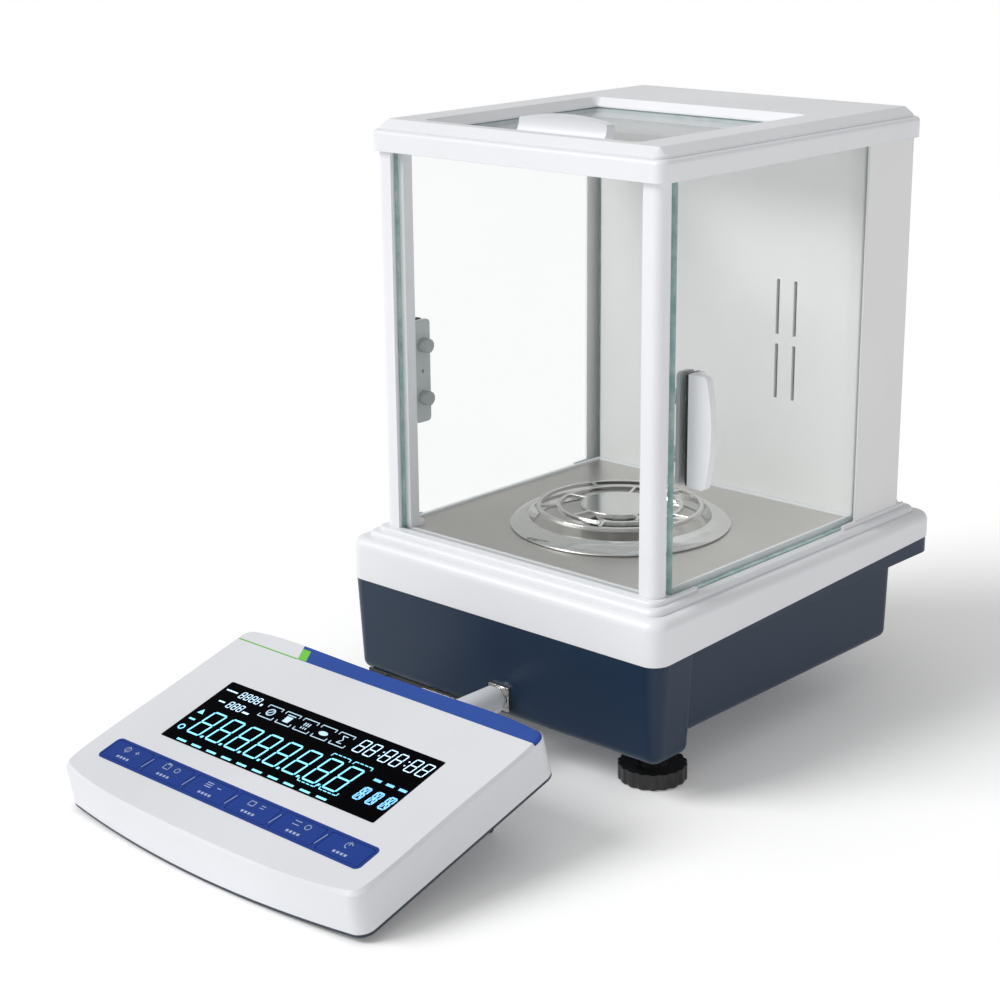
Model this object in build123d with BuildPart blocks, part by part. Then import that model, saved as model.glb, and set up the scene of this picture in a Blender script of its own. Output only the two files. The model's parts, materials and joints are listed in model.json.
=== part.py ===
from build123d import *

import os
from math import cos, pi, radians, sin, tan

# Analytical balance: a weighing base with a glass draught shield, and a separate tilted
# display console joined to it by a cable. Millimetres, +Z up, the front faces -Y.
# The origin is on the floor, at the middle of the whole footprint.

# ---- driving dimensions -------------------------------------------------------------
BASE_X = 2.90  # middle of the weighing base, from the origin
BASE_Y = 98.45
BASE_W = 215.0
BASE_D = 248.0
BASE_R = 9.5

BAND_LOW = 75.0  # lower edge of the white band at the front
BAND_RISE = 9.4  # how much higher that edge is at the rear
SHOULDER_Z = 98.0
STEP_Z = 101.2
DECK_Z = 103.5
SHOULDER_IN = 7.0
STEP_IN = 11.0

BLOCK_LOW = 21.5  # front block of the tub
BLOCK_REAR = -92.0
TUB_LOW = 29.0
TUB_X = 100.5
TUB_REAR = 97.0
WALL = 3.0
BLOCK_WALL = 3.8

GLASS_Z = (101.9, 309.5)
POST_TOP = 306.0
POST_X = 94.1
LIP_X = 83.0
POST_FRONT = -108.5
POST_REAR = -97.2
FRONT_GLASS_Y = (-106.3, -103.7)

DOOR_X = (90.6, 94.2)
DOOR_Y = (-96.7, 72.0)
DOOR_Z = (101.6, 309.5)
GRIP_Y = (-88.2, -76.8)
GRIP_Z = (156.8, 213.2)
GRIP_SCREW_Z = (170.5, 199.5)

COLUMN_FRONT = 67.5
COLUMN_REAR = 103.0
COLUMN_X = 89.8
PANEL_X = (94.6, 95.8)
PANEL_FRONT = 61.5

FRAME_W = 192.0
FRAME_Y = (-110.9, 111.7)
FRAME_Z = (306.0, 316.8)
FRAME_R = 5.5
COVER_TOP = 322.0
HATCH_X = 70.3
HATCH_Y = (-96.5, 40.5)
HATCH_Z = (314.0, 316.5)

PAN_Y = -22.0
PAN_TOP = 114.3
PAN_R = 45.3
RING_R = 60.0

FOOT_X = 79.0
FOOT_Y = -91.0
FOOT_R = 17.8
REAR_FOOT_Y = 80.0

TILT = 15.9  # console
CONSOLE_X = -10.0  # from the middle of the base
CONSOLE_Y = -307.3
CONSOLE_LIFT = 2.7
CONSOLE_T = 24.0
SHELL_SPLIT = 2.2
CONSOLE_WALL = 2.4
WINDOW_U = (-74.5, 76.1)
WINDOW_V = (40.1, 89.3)
KEYPAD_U = (-92.1, 93.1)
KEYPAD_V = (12.6, 28.5)
KEY_COUNT = 6
BOARD_W = 9.0
BOARD_UV = ((-84, 18), (-84, 106), (84, 18), (84, 106))
LEG_U = (-64, 64)
LEG_V = 118.0
LEG_W = -4.5
LEG_HALF = 7.0
LEG_PIN = 1.5
LEG_EAR = 9.4
GLAND_U = -26.6
GLAND_V = 116.0
GLAND_W = -6.0

SOCKET_X = 2.5
SOCKET_Y = -121.0
SOCKET_Z = 33.0
SOCKET_HALF = 7.0
SOCKET_TALL = 13.2

CORD_D = 4.4
COIL_AT = (-12.0, -243.0)
COIL_R = 24.2  # middle of the turns: eleven cord diameters across
COIL_TURNS = 5.5
# the cord's route, from the middle of the base
LEAD_ROUTE = (
    (2.5, -163.0, 33.0),
    (2.5, -179.0, 33.0),
    (5.5, -197.0, 19.0),
    (9.5, -213.0, 7.0),
    (14.5, -229.0, 2.4),
    (16.6, -245.0, 2.2),
)
TAIL_ROUTE = (
    (-40.6, -247.0, 6.5),
    (-42.3, -232.0, 7.3),
    (-36.6, -208.5, 24.5),
    (-36.6, -194.1, 28.6),
)


# ---- planes and small helpers -------------------------------------------------------
def level(z):
    """Horizontal plane over the middle of the weighing base."""
    return Plane(origin=(BASE_X, BASE_Y, z))


def facing_front(y):
    """Upright plane across the base: local x is +X, local y is +Z, out is -Y."""
    return Plane(origin=(BASE_X, BASE_Y + y, 0), x_dir=(1, 0, 0), z_dir=(0, -1, 0))


def facing_right(x):
    """Upright plane along the base: local x is +Y, local y is +Z, out is +X."""
    return Plane(origin=(BASE_X + x, BASE_Y, 0), x_dir=(0, 1, 0), z_dir=(1, 0, 0))


def on_console(w=0.0):
    """Plane parallel to the console's face, w above its underside."""
    lean = radians(TILT)
    out = (0, -sin(lean), cos(lean))
    foot = Vector(BASE_X + CONSOLE_X, BASE_Y + CONSOLE_Y, CONSOLE_LIFT)
    return Plane(origin=foot + Vector(*out) * w, x_dir=(1, 0, 0), z_dir=out)


def leg_plane(u):
    """Upright plane along the base through a leg's pin: local x is +Y, local y is +Z."""
    pin = on_console(LEG_W).from_local_coords(Vector(u, LEG_V, 0))
    return Plane(origin=pin, x_dir=(0, 1, 0), z_dir=(1, 0, 0))


def plate(plane, x, y, height, corner=0.0, mode=Mode.ADD, taper=0.0):
    """Rectangular plate on a plane, between two corners, with rounded corners."""
    with BuildSketch(plane) as outline:
        with Locations(((x[0] + x[1]) / 2, (y[0] + y[1]) / 2)):
            if corner:
                RectangleRounded(x[1] - x[0], y[1] - y[0], corner)
            else:
                Rectangle(x[1] - x[0], y[1] - y[0])
    extrude(outline.sketch, amount=height, mode=mode, taper=taper)


def slab(x, y, z, corner=0.0, mode=Mode.ADD):
    """Upright block in the base's coordinates."""
    plate(level(z[0]), x, y, z[1] - z[0], corner, mode)


def post(x, y, z, radius, mode=Mode.ADD):
    """Upright cylinder in the base's coordinates."""
    with BuildSketch(level(z[0])) as outline:
        with Locations((x, y)):
            Circle(radius)
    extrude(outline.sketch, amount=z[1] - z[0], mode=mode)


def rod(plane, x, y, height, radius, mode=Mode.ADD):
    """Cylinder that stands on a plane."""
    with BuildSketch(plane) as outline:
        with Locations((x, y)):
            Circle(radius)
    extrude(outline.sketch, amount=height, mode=mode)


def both(low, high):
    """The same range on each side of the middle."""
    return ((-high, -low), (low, high))


def save(piece, name):
    piece.part.label = name
    export_step(piece.part, f"parts/{name}.step")


os.makedirs("parts", exist_ok=True)

half_w = BASE_W / 2
half_d = BASE_D / 2
band_slope = BAND_RISE / BASE_D


def band_edge(y):
    """Height of the line where the white band meets the tub."""
    return BAND_LOW + band_slope * (y + half_d)


# ---- base cover: white band, two steps and the deck under the shield -----------------
with BuildPart() as base_cover:
    slab((-half_w, half_w), (-half_d, half_d), (BAND_LOW, SHOULDER_Z), BASE_R)
    fillet(base_cover.edges().group_by(Axis.Z)[-1], radius=5)
    step_w = half_w - SHOULDER_IN
    step_d = half_d - SHOULDER_IN
    slab((-step_w, step_w), (-step_d, step_d), (SHOULDER_Z - 4, STEP_Z), BASE_R - 3)
    fillet(base_cover.edges().group_by(Axis.Z)[-1], radius=2.4)
    deck_w = half_w - STEP_IN
    deck_d = half_d - STEP_IN
    slab((-deck_w, deck_w), (-deck_d, deck_d), (STEP_Z - 2, DECK_Z), BASE_R - 4)
    fillet(base_cover.edges().group_by(Axis.Z)[-1], radius=1.0)
    # hollow inside
    slab((-104.3, 104.3), (-120.8, 120.8), (BAND_LOW, 91.5), 11, Mode.SUBTRACT)
    slab((-97.3, 97.3), (-113.8, 113.8), (90.0, 97.5), 8, Mode.SUBTRACT)
    slab((-92.5, 92.5), (-109.0, 109.0), (97.0, 98.6), 6, Mode.SUBTRACT)
    # seat of the floor plate and the hole for the load shaft
    slab((-88.2, 88.2), (-101.8, 65.7), (102.3, 105.0), 2, Mode.SUBTRACT)
    post(0, PAN_Y, (95.0, 105.0), 34, Mode.SUBTRACT)
    # rails round the floor plate
    for side in both(88.4, 89.9):
        slab(side, (-90.5, 67.2), (DECK_Z - 1, DECK_Z + 1.1))
    slab((-89.9, 89.9), (65.8, 67.2), (DECK_Z - 1, DECK_Z + 1.1))
    # door tracks, open to the rear; their outer lip is cut away beside the doors
    for side in both(90.1, 94.6):
        slab(side, (POST_REAR, half_d), (STEP_Z, DECK_Z + 2), mode=Mode.SUBTRACT)
    for side in both(94.4, 98.0):
        slab(side, (-79.0, 50.0), (STEP_Z, DECK_Z + 2), mode=Mode.SUBTRACT)
    slab((-LIP_X, LIP_X), (-106.5, -103.5), (GLASS_Z[0], 105.0), mode=Mode.SUBTRACT)
    # the band's lower edge climbs towards the rear
    with BuildSketch(facing_right(-half_w - 5)) as below_band:
        Polygon(
            (-half_d - 5, BAND_LOW - 9),
            (half_d + 5, BAND_LOW - 9),
            (half_d + 5, band_edge(half_d + 5)),
            (-half_d - 5, band_edge(-half_d - 5)),
            align=None,
        )
    extrude(amount=BASE_W + 10, mode=Mode.SUBTRACT)
save(base_cover, "base_cover")

# ---- base tub: navy rim, narrower tub and the wider, lower block at the front --------
rim_w = half_w - 0.6
rim_d = half_d - 0.6
with BuildPart() as base_tub:
    plate(level(BAND_LOW), (-TUB_X, TUB_X), (-100, TUB_REAR), TUB_LOW - BAND_LOW, 9, taper=1.5)
    fillet(base_tub.edges().group_by(Axis.Z)[0], radius=5)
    with BuildSketch(level(BAND_LOW)) as block_outline:
        with Locations((0, (-rim_d + BLOCK_REAR) / 2)):
            Rectangle(2 * rim_w, BLOCK_REAR + rim_d)
        fillet(block_outline.vertices().group_by(Axis.Y)[0], radius=BASE_R - 0.6)
        fillet(block_outline.vertices().group_by(Axis.Y)[-1], radius=5)
    extrude(amount=BLOCK_LOW - BAND_LOW, taper=3)
    fillet(base_tub.edges().group_by(Axis.Z)[0], radius=5.5)
    slab((-rim_w, rim_w), (-rim_d, rim_d), (BAND_LOW, BAND_LOW + 14), BASE_R - 0.6)
    with BuildSketch(facing_right(-half_w - 5)) as above_rim:
        Polygon(
            (-half_d - 5, BAND_LOW + 20),
            (half_d + 5, BAND_LOW + 20),
            (half_d + 5, band_edge(half_d + 5)),
            (-half_d - 5, band_edge(-half_d - 5)),
            align=None,
        )
    extrude(amount=BASE_W + 10, mode=Mode.SUBTRACT)
    # inner lip that the cover slips over
    slab((-103.9, 103.9), (-120.4, 120.4), (BAND_LOW + 0.0, 90.0), 10.6)
    # hollow inside
    slab((-101.3, 101.3), (-117.8, 117.8), (BAND_LOW + WALL, 95.0), 8, Mode.SUBTRACT)
    plate(
        level(BAND_LOW + WALL + 1),
        (-TUB_X + WALL, TUB_X - WALL),
        (-97.0, TUB_REAR - WALL),
        TUB_LOW - BAND_LOW - 1,
        6,
        Mode.SUBTRACT,
        1.5,
    )
    plate(
        level(BAND_LOW + WALL + 1),
        (-rim_w + BLOCK_WALL, rim_w - BLOCK_WALL),
        (-rim_d + BLOCK_WALL, BLOCK_REAR - WALL),
        BLOCK_LOW - BAND_LOW - 1,
        6,
        Mode.SUBTRACT,
        3,
    )
    # bosses for the levelling feet and for the chassis plate
    for x in (-FOOT_X, FOOT_X):
        post(x, FOOT_Y, (BLOCK_LOW, 46.0), 9)
        post(x, FOOT_Y, (BLOCK_LOW - 5, 50.0), 5.04, Mode.SUBTRACT)
    for x in (-78, 78):
        for y in (-72, 72):
            post(x, y, (TUB_LOW + 1, 38.0), 6)
            post(x, y, (33.0, 40.0), 2.05, Mode.SUBTRACT)
    # hole and seat for the display socket
    rod(facing_front(-112), SOCKET_X, SOCKET_Z, 15, 6.4, Mode.SUBTRACT)
    seat_x = (SOCKET_X - SOCKET_HALF, SOCKET_X + SOCKET_HALF)
    seat_z = (SOCKET_Z - SOCKET_TALL / 2, SOCKET_Z + SOCKET_TALL / 2)
    slab(seat_x, (-128, SOCKET_Y), seat_z, mode=Mode.SUBTRACT)
save(base_tub, "base_tub")

# ---- levelling feet and the fixed rear foot -----------------------------------------
SCALLOPS = 18


def levelling_foot(x):
    """Scalloped knob on a threaded stud; it turns in the tub's boss."""
    post(x, FOOT_Y, (0.0, 8.6), FOOT_R)
    with BuildSketch(level(-1)) as scallops:
        with Locations((x, FOOT_Y)):
            with PolarLocations(FOOT_R + 2.3, SCALLOPS):
                Circle(3.1)
    extrude(scallops.sketch, amount=12, mode=Mode.SUBTRACT)
    post(x, FOOT_Y, (8.6, 12.4), 8)
    post(x, FOOT_Y, (12.4, 44.0), 4.96)


with BuildPart() as foot_left:
    levelling_foot(-FOOT_X)
    chamfer(foot_left.faces().sort_by(Axis.Z)[0].edges(), length=0.8)
save(foot_left, "foot_left")

with BuildPart() as foot_right:
    levelling_foot(FOOT_X)
    chamfer(foot_right.faces().sort_by(Axis.Z)[0].edges(), length=0.8)
save(foot_right, "foot_right")

with BuildPart() as rear_foot:
    with BuildSketch(facing_front(REAR_FOOT_Y)):
        Polygon((0, 0), (12, 0), (13, 2), (9.5, 8), (9.5, TUB_LOW), (0, TUB_LOW), align=None)
    revolve(axis=Axis((BASE_X, BASE_Y + REAR_FOOT_Y, 0), (0, 0, 1)))
save(rear_foot, "rear_foot")

# ---- chassis plate and the force cell on it -----------------------------------------
with BuildPart() as chassis_plate:
    slab((-88, 88), (-82, 82), (38.0, 43.0), 5)
    for x in (-78, 78):
        for y in (-72, 72):
            post(x, y, (37.0, 44.0), 2.2, Mode.SUBTRACT)
    for x in (42, 80):
        for y in (-52, 44):
            post(x, y, (43.0, 50.0), 3)
save(chassis_plate, "chassis_plate")

with BuildPart() as cell_frame:
    with BuildSketch(facing_right(-27)):
        Polygon(
            (-58, 43),
            (60, 43),
            (60, 88),
            (-34, 88),
            (-34, 81),
            (36, 81),
            (36, 52),
            (-58, 52),
            align=None,
        )
    extrude(amount=54)
    post(0, PAN_Y, (70.0, 95.0), 9, Mode.SUBTRACT)
    fillet(cell_frame.edges().filter_by(Axis.Z).group_by(Axis.Y)[-1], radius=5)
save(cell_frame, "cell_frame")

COIL_Y = 14.0
with BuildPart() as cell_magnet:
    post(0, COIL_Y, (52.0, 66.0), 18)
    post(0, COIL_Y, (56.0, 67.0), 13.2, Mode.SUBTRACT)
    post(0, COIL_Y, (55.0, 66.0), 8.8)
save(cell_magnet, "cell_magnet")

with BuildPart() as cell_lever:
    slab((-14, 14), (PAN_Y - 8, PAN_Y + 8), (56.0, 78.5), 2)
    slab((-5, 5), (PAN_Y + 6, 36), (70.0, 75.0))
    post(0, COIL_Y, (58.0, 70.5), 12.4)
    post(0, COIL_Y, (57.0, 69.0), 9.8, Mode.SUBTRACT)
    post(0, PAN_Y, (77.0, 99.0), 5)
save(cell_lever, "cell_lever")

with BuildPart() as pan_support:
    with BuildSketch(facing_front(PAN_Y)):
        Polygon(
            (0, 99), (6, 99), (13, 106.5), (13, 108), (5, 109.5), (4, 112.2), (0, 112.2), align=None
        )
    revolve(axis=Axis((BASE_X, BASE_Y + PAN_Y, 0), (0, 0, 1)))
save(pan_support, "pan_support")

with BuildPart() as main_board:
    slab((38, 84), (-58, 50), (50.0, 51.6))
    chips = ((52, -36, 14, 3), (70, -36, 10, 8), (54, -6, 20, 2.5), (74, 8, 9, 9), (52, 30, 12, 6))
    for x, y, size, tall in chips:
        slab((x - size / 2, x + size / 2), (y - size / 2, y + size / 2), (51.0, 51.6 + tall))
save(main_board, "main_board")

# ---- connectors on a bracket under the front block ----------------------------------
BRACKET_Y = -116.4
with BuildPart() as connector_bracket:
    slab((-100.5, -21.5), (BRACKET_Y - 1.2, BRACKET_Y), (6.5, BLOCK_LOW - 0.4))
    slab((-98.0, -24.0), (BRACKET_Y - 1.2, -104.0), (BLOCK_LOW - 1.2, BLOCK_LOW))
save(connector_bracket, "connector_bracket")

PORT_X = -43.5
PORT_Z = 14.4
port_face = BRACKET_Y - 1.2
with BuildPart() as serial_port:
    plate(facing_front(port_face), (PORT_X - 15.4, PORT_X + 15.4), (PORT_Z - 6.2, PORT_Z + 6.2), 1.0, 1.5)
    with BuildSketch(facing_front(port_face)):
        with Locations((PORT_X, PORT_Z)):
            Trapezoid(17.8, 8.6, 80, rotation=180)
            with GridLocations(2.8, 2.8, 5, 2):
                Circle(0.6, mode=Mode.SUBTRACT)
    extrude(amount=6)
    for x in (PORT_X - 12.5, PORT_X + 12.5):
        rod(facing_front(port_face), x, PORT_Z, 5.5, 2.4)
        rod(facing_front(port_face), x, PORT_Z, 6.0, 1.3, Mode.SUBTRACT)
save(serial_port, "serial_port")

JACK_X = -92.9
with BuildPart() as power_jack:
    plate(facing_front(port_face), (JACK_X - 6, JACK_X + 6), (PORT_Z - 5.6, PORT_Z + 5.8), 3.2, 1.0)
    rod(facing_front(port_face - 0.8), JACK_X, PORT_Z, 4, 3.3, Mode.SUBTRACT)
    rod(facing_front(port_face - 0.5), JACK_X, PORT_Z, 2.2, 1.0)
save(power_jack, "power_jack")

with BuildPart() as display_socket:
    plate(facing_front(SOCKET_Y), seat_x, seat_z, 2.4, 0.8)
    rod(facing_front(SOCKET_Y + 9), SOCKET_X, SOCKET_Z, 9.5, 6.2)
    rod(facing_front(SOCKET_Y - 1), SOCKET_X, SOCKET_Z, 3.0, 6.5)
    rod(facing_front(SOCKET_Y + 7), SOCKET_X, SOCKET_Z, 12, 4.9, Mode.SUBTRACT)
    rod(facing_front(SOCKET_Y - 2.4), SOCKET_X, SOCKET_Z, 3, 5.9, Mode.SUBTRACT)
save(display_socket, "display_socket")

# ---- chamber floor, draught ring and pan --------------------------------------------
with BuildPart() as floor_plate:
    slab((-88, 88), (-101.6, 65.5), (102.3, DECK_Z), 2)
    post(0, PAN_Y, (100, 106), 17, Mode.SUBTRACT)
save(floor_plate, "floor_plate")

ring_axis = Axis((BASE_X, BASE_Y + PAN_Y, 0), (0, 0, 1))
ring_low = DECK_Z + 0.3
with BuildPart() as draft_ring:
    with BuildSketch(facing_front(PAN_Y)):
        with BuildLine():
            Line((46.4, ring_low), (49.6, 108.6))
            ThreePointArc((49.6, 108.6), (50.5, 109.1), (51.4, 108.9))
            ThreePointArc((51.4, 108.9), (56.2, 107.3), (RING_R, ring_low + 0.8))
            Line((RING_R, ring_low + 0.8), (RING_R - 0.3, ring_low))
            Line((RING_R - 0.3, ring_low), (46.4, ring_low))
        make_face()
    revolve(axis=ring_axis)
save(draft_ring, "draft_ring")

SPOKES = 5
SPOKE_TURN = 6.6
RING_PATHS = ((PAN_R - 2.3, PAN_R), (32.2, 34.2), (0, 21.5))
with BuildPart() as weigh_pan:
    with BuildSketch(level(PAN_TOP - 2.2)):
        with Locations((0, PAN_Y)):
            Circle(PAN_R)
            Circle(PAN_R - 2.3, mode=Mode.SUBTRACT)
            Circle(34.2)
            Circle(32.2, mode=Mode.SUBTRACT)
            Circle(21.5)
            with PolarLocations(38.6, SPOKES, start_angle=SPOKE_TURN):
                Rectangle(10.0, 1.8)
            with PolarLocations(26.9, SPOKES, start_angle=SPOKE_TURN + 36):
                Rectangle(12.2, 1.8)
    extrude(amount=2.2)
    fillet(weigh_pan.edges().group_by(Axis.Z)[-1], radius=0.5)
    post(0, PAN_Y, (109.5, PAN_TOP - 1), 7)
    post(0, PAN_Y, (109.0, 112.3), 5.6, Mode.SUBTRACT)
save(weigh_pan, "weigh_pan")

# ---- draught shield: posts, front glass, column, top --------------------------------


def corner_post():
    """Right front post; its lip stands in front of the glass."""
    with BuildSketch(level(DECK_Z)) as section:
        with BuildLine():
            Polyline(
                (LIP_X, FRONT_GLASS_Y[1] + 0.1),
                (LIP_X, POST_FRONT),
                (POST_X - 5.5, POST_FRONT),
            )
            TangentArc((POST_X - 5.5, POST_FRONT), (POST_X, POST_FRONT + 5.5), tangent=(1, 0))
            Polyline(
                (POST_X, POST_FRONT + 5.5),
                (POST_X, -101.6),
                (POST_X - 3.8, POST_REAR),
                (78.8, POST_REAR),
                (78.8, FRONT_GLASS_Y[1] + 0.1),
                (LIP_X, FRONT_GLASS_Y[1] + 0.1),
            )
        make_face()
    extrude(section.sketch, amount=POST_TOP - DECK_Z)
    post(83.5, POST_REAR + 0.5, (DECK_Z, DECK_Z + 1.8), 5.6)
    slab((75, LIP_X + 0.1), (-106.6, -103.6), (DECK_Z - 1, DECK_Z + 3), mode=Mode.SUBTRACT)


mirror_plane = Plane(origin=(BASE_X, BASE_Y, 0), z_dir=(1, 0, 0))
with BuildPart() as post_right:
    corner_post()
save(post_right, "post_right")

with BuildPart() as post_left:
    add(mirror(post_right.part, about=mirror_plane))
save(post_left, "post_left")

with BuildPart() as front_glass:
    slab((-LIP_X + 0.2, LIP_X - 0.2), FRONT_GLASS_Y, GLASS_Z)
    chamfer(front_glass.edges().filter_by(Axis.Z), length=0.4)
save(front_glass, "front_glass")

VENT_X = (36.8, 48.2)
VENT_Z = ((162.0, 192.5), (198.0, 228.5))
with BuildPart() as column_core:
    slab((-COLUMN_X, COLUMN_X), (COLUMN_FRONT, COLUMN_REAR), (DECK_Z, POST_TOP), 1.2)
    slab(
        (-COLUMN_X + 2.2, COLUMN_X - 2.2),
        (COLUMN_FRONT + 2.2, COLUMN_REAR - 2.2),
        (DECK_Z, POST_TOP),
        mode=Mode.SUBTRACT,
    )
    for x in VENT_X:
        for low, high in VENT_Z:
            slab((x - 1, x + 1), (COLUMN_FRONT - 1, COLUMN_FRONT + 4), (low, high), mode=Mode.SUBTRACT)
save(column_core, "column_core")


def column_panel(sign):
    """Thin side skin of the column; the door passes between it and the core."""
    x = sorted((sign * PANEL_X[0], sign * PANEL_X[1]))
    slab(x, (PANEL_FRONT, COLUMN_REAR), (DECK_Z, POST_TOP))


with BuildPart() as left_column_panel:
    column_panel(-1)
save(left_column_panel, "left_column_panel")

with BuildPart() as right_column_panel:
    column_panel(1)
save(right_column_panel, "right_column_panel")

frame_half = FRAME_W / 2
with BuildPart() as top_frame:
    slab((-frame_half, frame_half), FRAME_Y, FRAME_Z, FRAME_R)
    fillet(top_frame.edges().group_by(Axis.Z)[-1], radius=2.4)
    slab((-62.5, 62.5), (-91.0, 25.5), (FRAME_Z[0] - 1, FRAME_Z[1] + 1), 4, Mode.SUBTRACT)
    # channel of the sliding hatch, open to the rear
    channel = (-HATCH_X - 0.4, HATCH_X + 0.4)
    slab(channel, (HATCH_Y[0] - 0.3, 120), (HATCH_Z[0] - 0.2, 320), mode=Mode.SUBTRACT)
    # grooves of the doors, open to the rear, and of the front glass
    for side in both(90.2, 94.6):
        slab(side, (POST_REAR, 120), (FRAME_Z[0] - 1, 310.2), mode=Mode.SUBTRACT)
    slab((-LIP_X, LIP_X), (-106.5, -103.5), (FRAME_Z[0] - 1, GLASS_Z[1]), mode=Mode.SUBTRACT)
save(top_frame, "top_frame")

COVER_IN = 2.6
COVER_R = 5.3
CHAMFER_IN = 4.6
with BuildPart() as top_cover:
    slab(
        (-frame_half + COVER_IN, frame_half - COVER_IN),
        (FRAME_Y[0] + COVER_IN, FRAME_Y[1] - COVER_IN),
        (FRAME_Z[1], COVER_TOP),
        COVER_R,
    )
    chamfer(top_cover.edges().group_by(Axis.Z)[-1], length=COVER_TOP - FRAME_Z[1] - 1.2, length2=CHAMFER_IN)
    # the opening and its bevelled rim
    slab((-67.5, 67.5), (-94, 37.5), (FRAME_Z[1] - 1, COVER_TOP + 1), 2, Mode.SUBTRACT)
    with BuildSketch(level(COVER_TOP)):
        with Locations((0, (41 - 97.5) / 2)):
            RectangleRounded(142, 138.5, 5.5)
    with BuildSketch(level(FRAME_Z[1] + 0.9)):
        with Locations((0, (37.5 - 94) / 2)):
            RectangleRounded(135, 131.5, 2)
    loft(ruled=True, mode=Mode.SUBTRACT)
save(top_cover, "top_cover")

with BuildPart() as hatch_glass:
    slab((-HATCH_X, HATCH_X), HATCH_Y, HATCH_Z, 1.5)
save(hatch_glass, "hatch_glass")

TAB_Y = (-72.0, -64.0)
TAB_W = 58.0
with BuildPart() as hatch_handle:
    with BuildSketch(facing_front(TAB_Y[1])):
        with BuildLine():
            Line((-TAB_W / 2, HATCH_Z[1] + 7.6), (-TAB_W / 2, HATCH_Z[1]))
            Line((-TAB_W / 2, HATCH_Z[1]), (TAB_W / 2, HATCH_Z[1]))
            Line((TAB_W / 2, HATCH_Z[1]), (TAB_W / 2, HATCH_Z[1] + 7.6))
            ThreePointArc(
                (TAB_W / 2, HATCH_Z[1] + 7.6),
                (0, HATCH_Z[1] + 10.4),
                (-TAB_W / 2, HATCH_Z[1] + 7.6),
            )
        make_face()
    extrude(amount=TAB_Y[1] - TAB_Y[0])
    # finger hollow along the front
    with BuildSketch(facing_right(-TAB_W / 2 - 2)):
        with Locations((TAB_Y[0] - 7.2, HATCH_Z[1] + 7.0)):
            Circle(9.6)
    extrude(amount=TAB_W + 4, mode=Mode.SUBTRACT)
    fillet(hatch_handle.edges().filter_by(Axis.Y), radius=1.6)
save(hatch_handle, "hatch_handle")

# ---- sliding doors and their grips --------------------------------------------------
grip_mid_y = sum(GRIP_Y) / 2


def screw_holes(radius, x, reach):
    """Holes for the two thumb screws, along X from x."""
    for z in GRIP_SCREW_Z:
        rod(facing_right(x), grip_mid_y, z, reach, radius, Mode.SUBTRACT)


def door_glass():
    slab(DOOR_X, DOOR_Y, DOOR_Z)
    screw_holes(2.0, DOOR_X[0] - 1, 6)


def grip_pad(x, thickness, hole):
    """Rounded strip of the grip's outline."""
    plate(facing_right(x), GRIP_Y, GRIP_Z, thickness, 2.4)
    screw_holes(hole, x - 1, thickness + 2)


FIN_BASE = DOOR_X[1] + 1.4
FIN_OUT = 109.8
FIN_T = 4.2


def grip_fin():
    """Outer grip: a flat foot with a bowed fin along its front edge."""
    plate(facing_right(FIN_BASE), GRIP_Y, GRIP_Z, 2.2, 2.4)
    with BuildSketch(facing_front(GRIP_Y[0] + FIN_T)) as fin:
        with BuildLine():
            Polyline(
                (FIN_OUT - 3.6, GRIP_Z[0]),
                (FIN_BASE, GRIP_Z[0]),
                (FIN_BASE, GRIP_Z[1]),
                (FIN_OUT - 3.6, GRIP_Z[1]),
            )
            ThreePointArc(
                (FIN_OUT - 3.6, GRIP_Z[1]),
                (FIN_OUT, sum(GRIP_Z) / 2),
                (FIN_OUT - 3.6, GRIP_Z[0]),
            )
        make_face()
        fillet(fin.vertices().group_by(Axis.X)[-1], radius=3)
    extrude(fin.sketch, amount=FIN_T)
    screw_holes(1.4, FIN_BASE - 1, 2.6)


def thumb_screws():
    """Two knurled screws, from inside through the plate and the glass into the grip."""
    head_x = DOOR_X[0] - 2.2
    for z in GRIP_SCREW_Z:
        rod(facing_right(head_x - 5), grip_mid_y, z, 5, 3.9)
        rod(facing_right(head_x), grip_mid_y, z, FIN_BASE + 1.2 - head_x, 1.3)
    with BuildSketch(facing_right(head_x - 5.5)) as knurl:
        for z in GRIP_SCREW_Z:
            with Locations((grip_mid_y, z)):
                with PolarLocations(4.2, 14):
                    Circle(0.55)
    extrude(knurl.sketch, amount=4.6, mode=Mode.SUBTRACT)


with BuildPart() as right_door_glass:
    door_glass()
save(right_door_glass, "right_door_glass")

with BuildPart() as right_gasket:
    grip_pad(DOOR_X[1], 1.4, 1.9)
save(right_gasket, "right_gasket")

with BuildPart() as right_plate:
    grip_pad(DOOR_X[0] - 2.2, 2.2, 1.6)
    rod(facing_right(DOOR_X[0] - 3), grip_mid_y, sum(GRIP_Z) / 2, 4, 0.9, Mode.SUBTRACT)
save(right_plate, "right_plate")

with BuildPart() as right_handle:
    grip_fin()
save(right_handle, "right_handle")

with BuildPart() as right_thumb_screws:
    thumb_screws()
save(right_thumb_screws, "right_thumb_screws")

left_pieces = {
    "left_door_glass": right_door_glass,
    "left_gasket": right_gasket,
    "left_plate": right_plate,
    "left_handle": right_handle,
    "left_thumb_screws": right_thumb_screws,
}
for name, twin in left_pieces.items():
    with BuildPart() as mirrored:
        add(mirror(twin.part, about=mirror_plane))
    save(mirrored, name)

# ---- display console ----------------------------------------------------------------
console_up = Axis((0, 0, 0), on_console().z_dir)


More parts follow.
